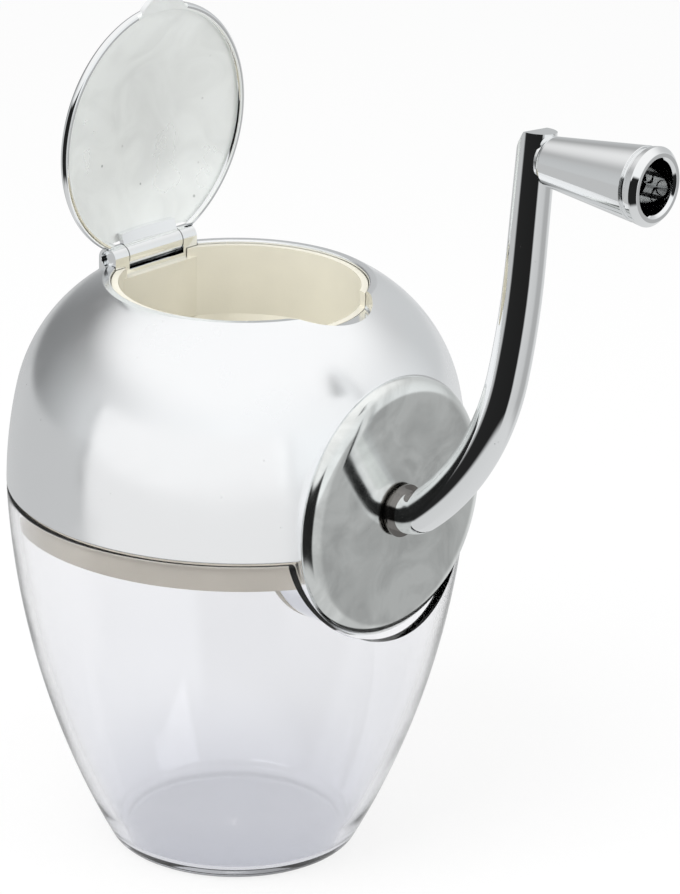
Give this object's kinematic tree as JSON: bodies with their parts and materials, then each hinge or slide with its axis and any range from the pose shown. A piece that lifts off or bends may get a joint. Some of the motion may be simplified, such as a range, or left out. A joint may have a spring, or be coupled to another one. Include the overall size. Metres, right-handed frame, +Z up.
{
  "type": "hand-cranked ice crusher",
  "caption": "Egg-shaped ice crusher: a clear cup under a chromed dome with a hinged hopper lid and a side crank that turns the breaker.",
  "frame": {"origin": "centre of the cup's underside, where it stands on the table", "axes": "+Z up, +X out along the crank's axis towards the crank, lid hinge at -X"},
  "size_m": [0.2143, 0.14, 0.2623],
  "materials": {
    "cup": "clear moulded plastic, slightly frosted by use",
    "chromed_shell": "mirror chrome plating",
    "polished_metal": "polished chrome on cast zinc",
    "liner_plastic": "moulded, cream",
    "bush_plastic": "moulded acetal",
    "comb_steel": "stamped stainless",
    "shaft_steel": "turned stainless",
    "screw_steel": "zinc plated"
  },
  "bodies": {
    "cup": {"cup": "cup"},
    "head": {"dome_shell": "chromed_shell", "side_disc": "chromed_shell", "hopper_liner": "liner_plastic", "lower_deck": "liner_plastic", "rear_bush": "bush_plastic", "front_bush": "bush_plastic", "nose_bush": "polished_metal", "coarse_comb": "comb_steel", "fine_comb": "comb_steel", "deck_screws": "screw_steel", "liner_screws": "screw_steel", "comb_screws": "screw_steel", "disc_screws": "screw_steel", "hinge_bracket": "polished_metal", "hinge_screws": "screw_steel", "hinge_pin": "polished_metal"},
    "crank": {"crank_shaft": "shaft_steel", "shaft_clip": "screw_steel", "breaker_wheels": "comb_steel", "wheel_spacers": "shaft_steel", "crank_washer": "polished_metal", "crank_arm": "polished_metal", "grip_washer": "polished_metal", "grip_axle": "shaft_steel"},
    "grip": {"grip": "polished_metal"},
    "lid": {"lid_shell": "chromed_shell", "lid_leaf": "polished_metal"}
  },
  "joints": [
    {"name": "head_lift", "type": "slide", "parent": "cup", "child": "head", "axis": [0, 0, 1], "range_m": [0, 0.06]},
    {"name": "crank_turn", "type": "hinge", "parent": "head", "child": "crank", "pos_m": [0, 0, 0.1243], "axis": [1, 0, 0], "continuous": true},
    {"name": "grip_spin", "type": "hinge", "parent": "crank", "child": "grip", "pos_m": [0.1, 0.01007, 0.23715], "axis": [1, 0, 0], "continuous": true},
    {"name": "lid_hinge", "type": "hinge", "parent": "head", "child": "lid", "pos_m": [-0.0376, 0, 0.18233], "axis": [0, -1, 0], "range_deg": [-86.5, 0]}
  ]
}
